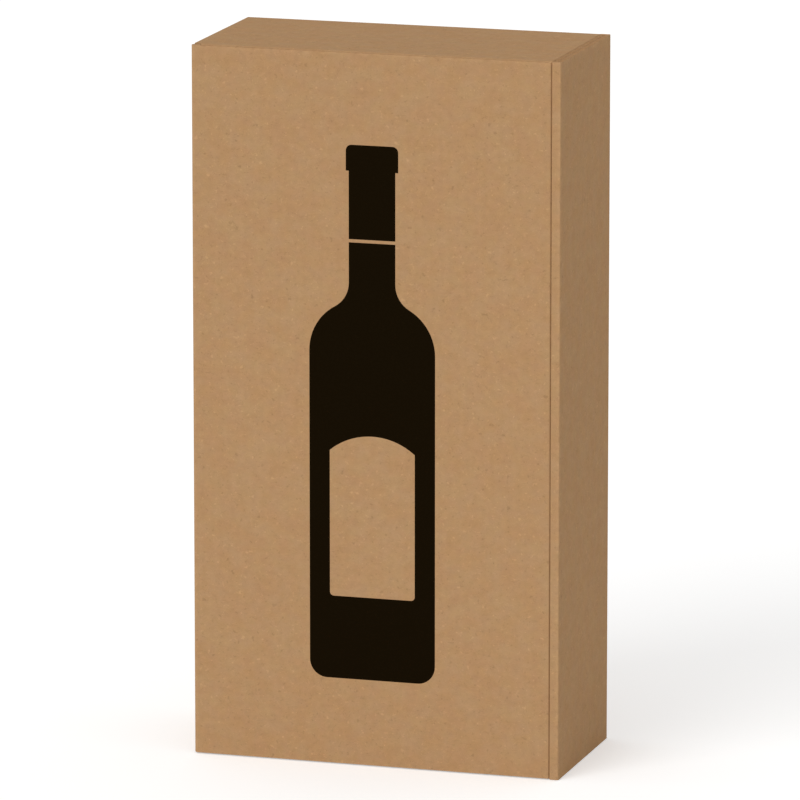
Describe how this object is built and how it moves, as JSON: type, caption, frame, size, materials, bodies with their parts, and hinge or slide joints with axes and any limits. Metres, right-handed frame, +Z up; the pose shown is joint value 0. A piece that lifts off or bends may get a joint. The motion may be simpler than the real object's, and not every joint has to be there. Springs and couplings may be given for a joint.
{
  "type": "two-bottle gift box",
  "caption": "Upright kraft gift box of fine-fluted board for bottles side by side, with a side-hinged lid that tucks in beside a rolled wall, a folded divider inside and a printed front.",
  "frame": {"origin": "middle of the surface that the box stands on, below the middle of the closed box", "axes": "+Z up along the bottles, +X across the lid from its crease to its free edge, -Y out of the lid"},
  "size_m": [0.19, 0.09, 0.36],
  "materials": {
    "kraft_board": "matte natural kraft with fine fibre flecks",
    "black_ink": "matte black ink on kraft"
  },
  "bodies": {
    "tray_body": {"tray": "kraft_board", "divider": "kraft_board"},
    "lid_body": {"lid": "kraft_board", "front_print": "black_ink"}
  },
  "joints": [
    {"name": "lid_hinge", "type": "hinge", "parent": "tray_body", "child": "lid_body", "pos_m": [-0.0928, -0.0428, 0.18], "axis": [0, 0, -1], "range_deg": [0, 135]}
  ]
}
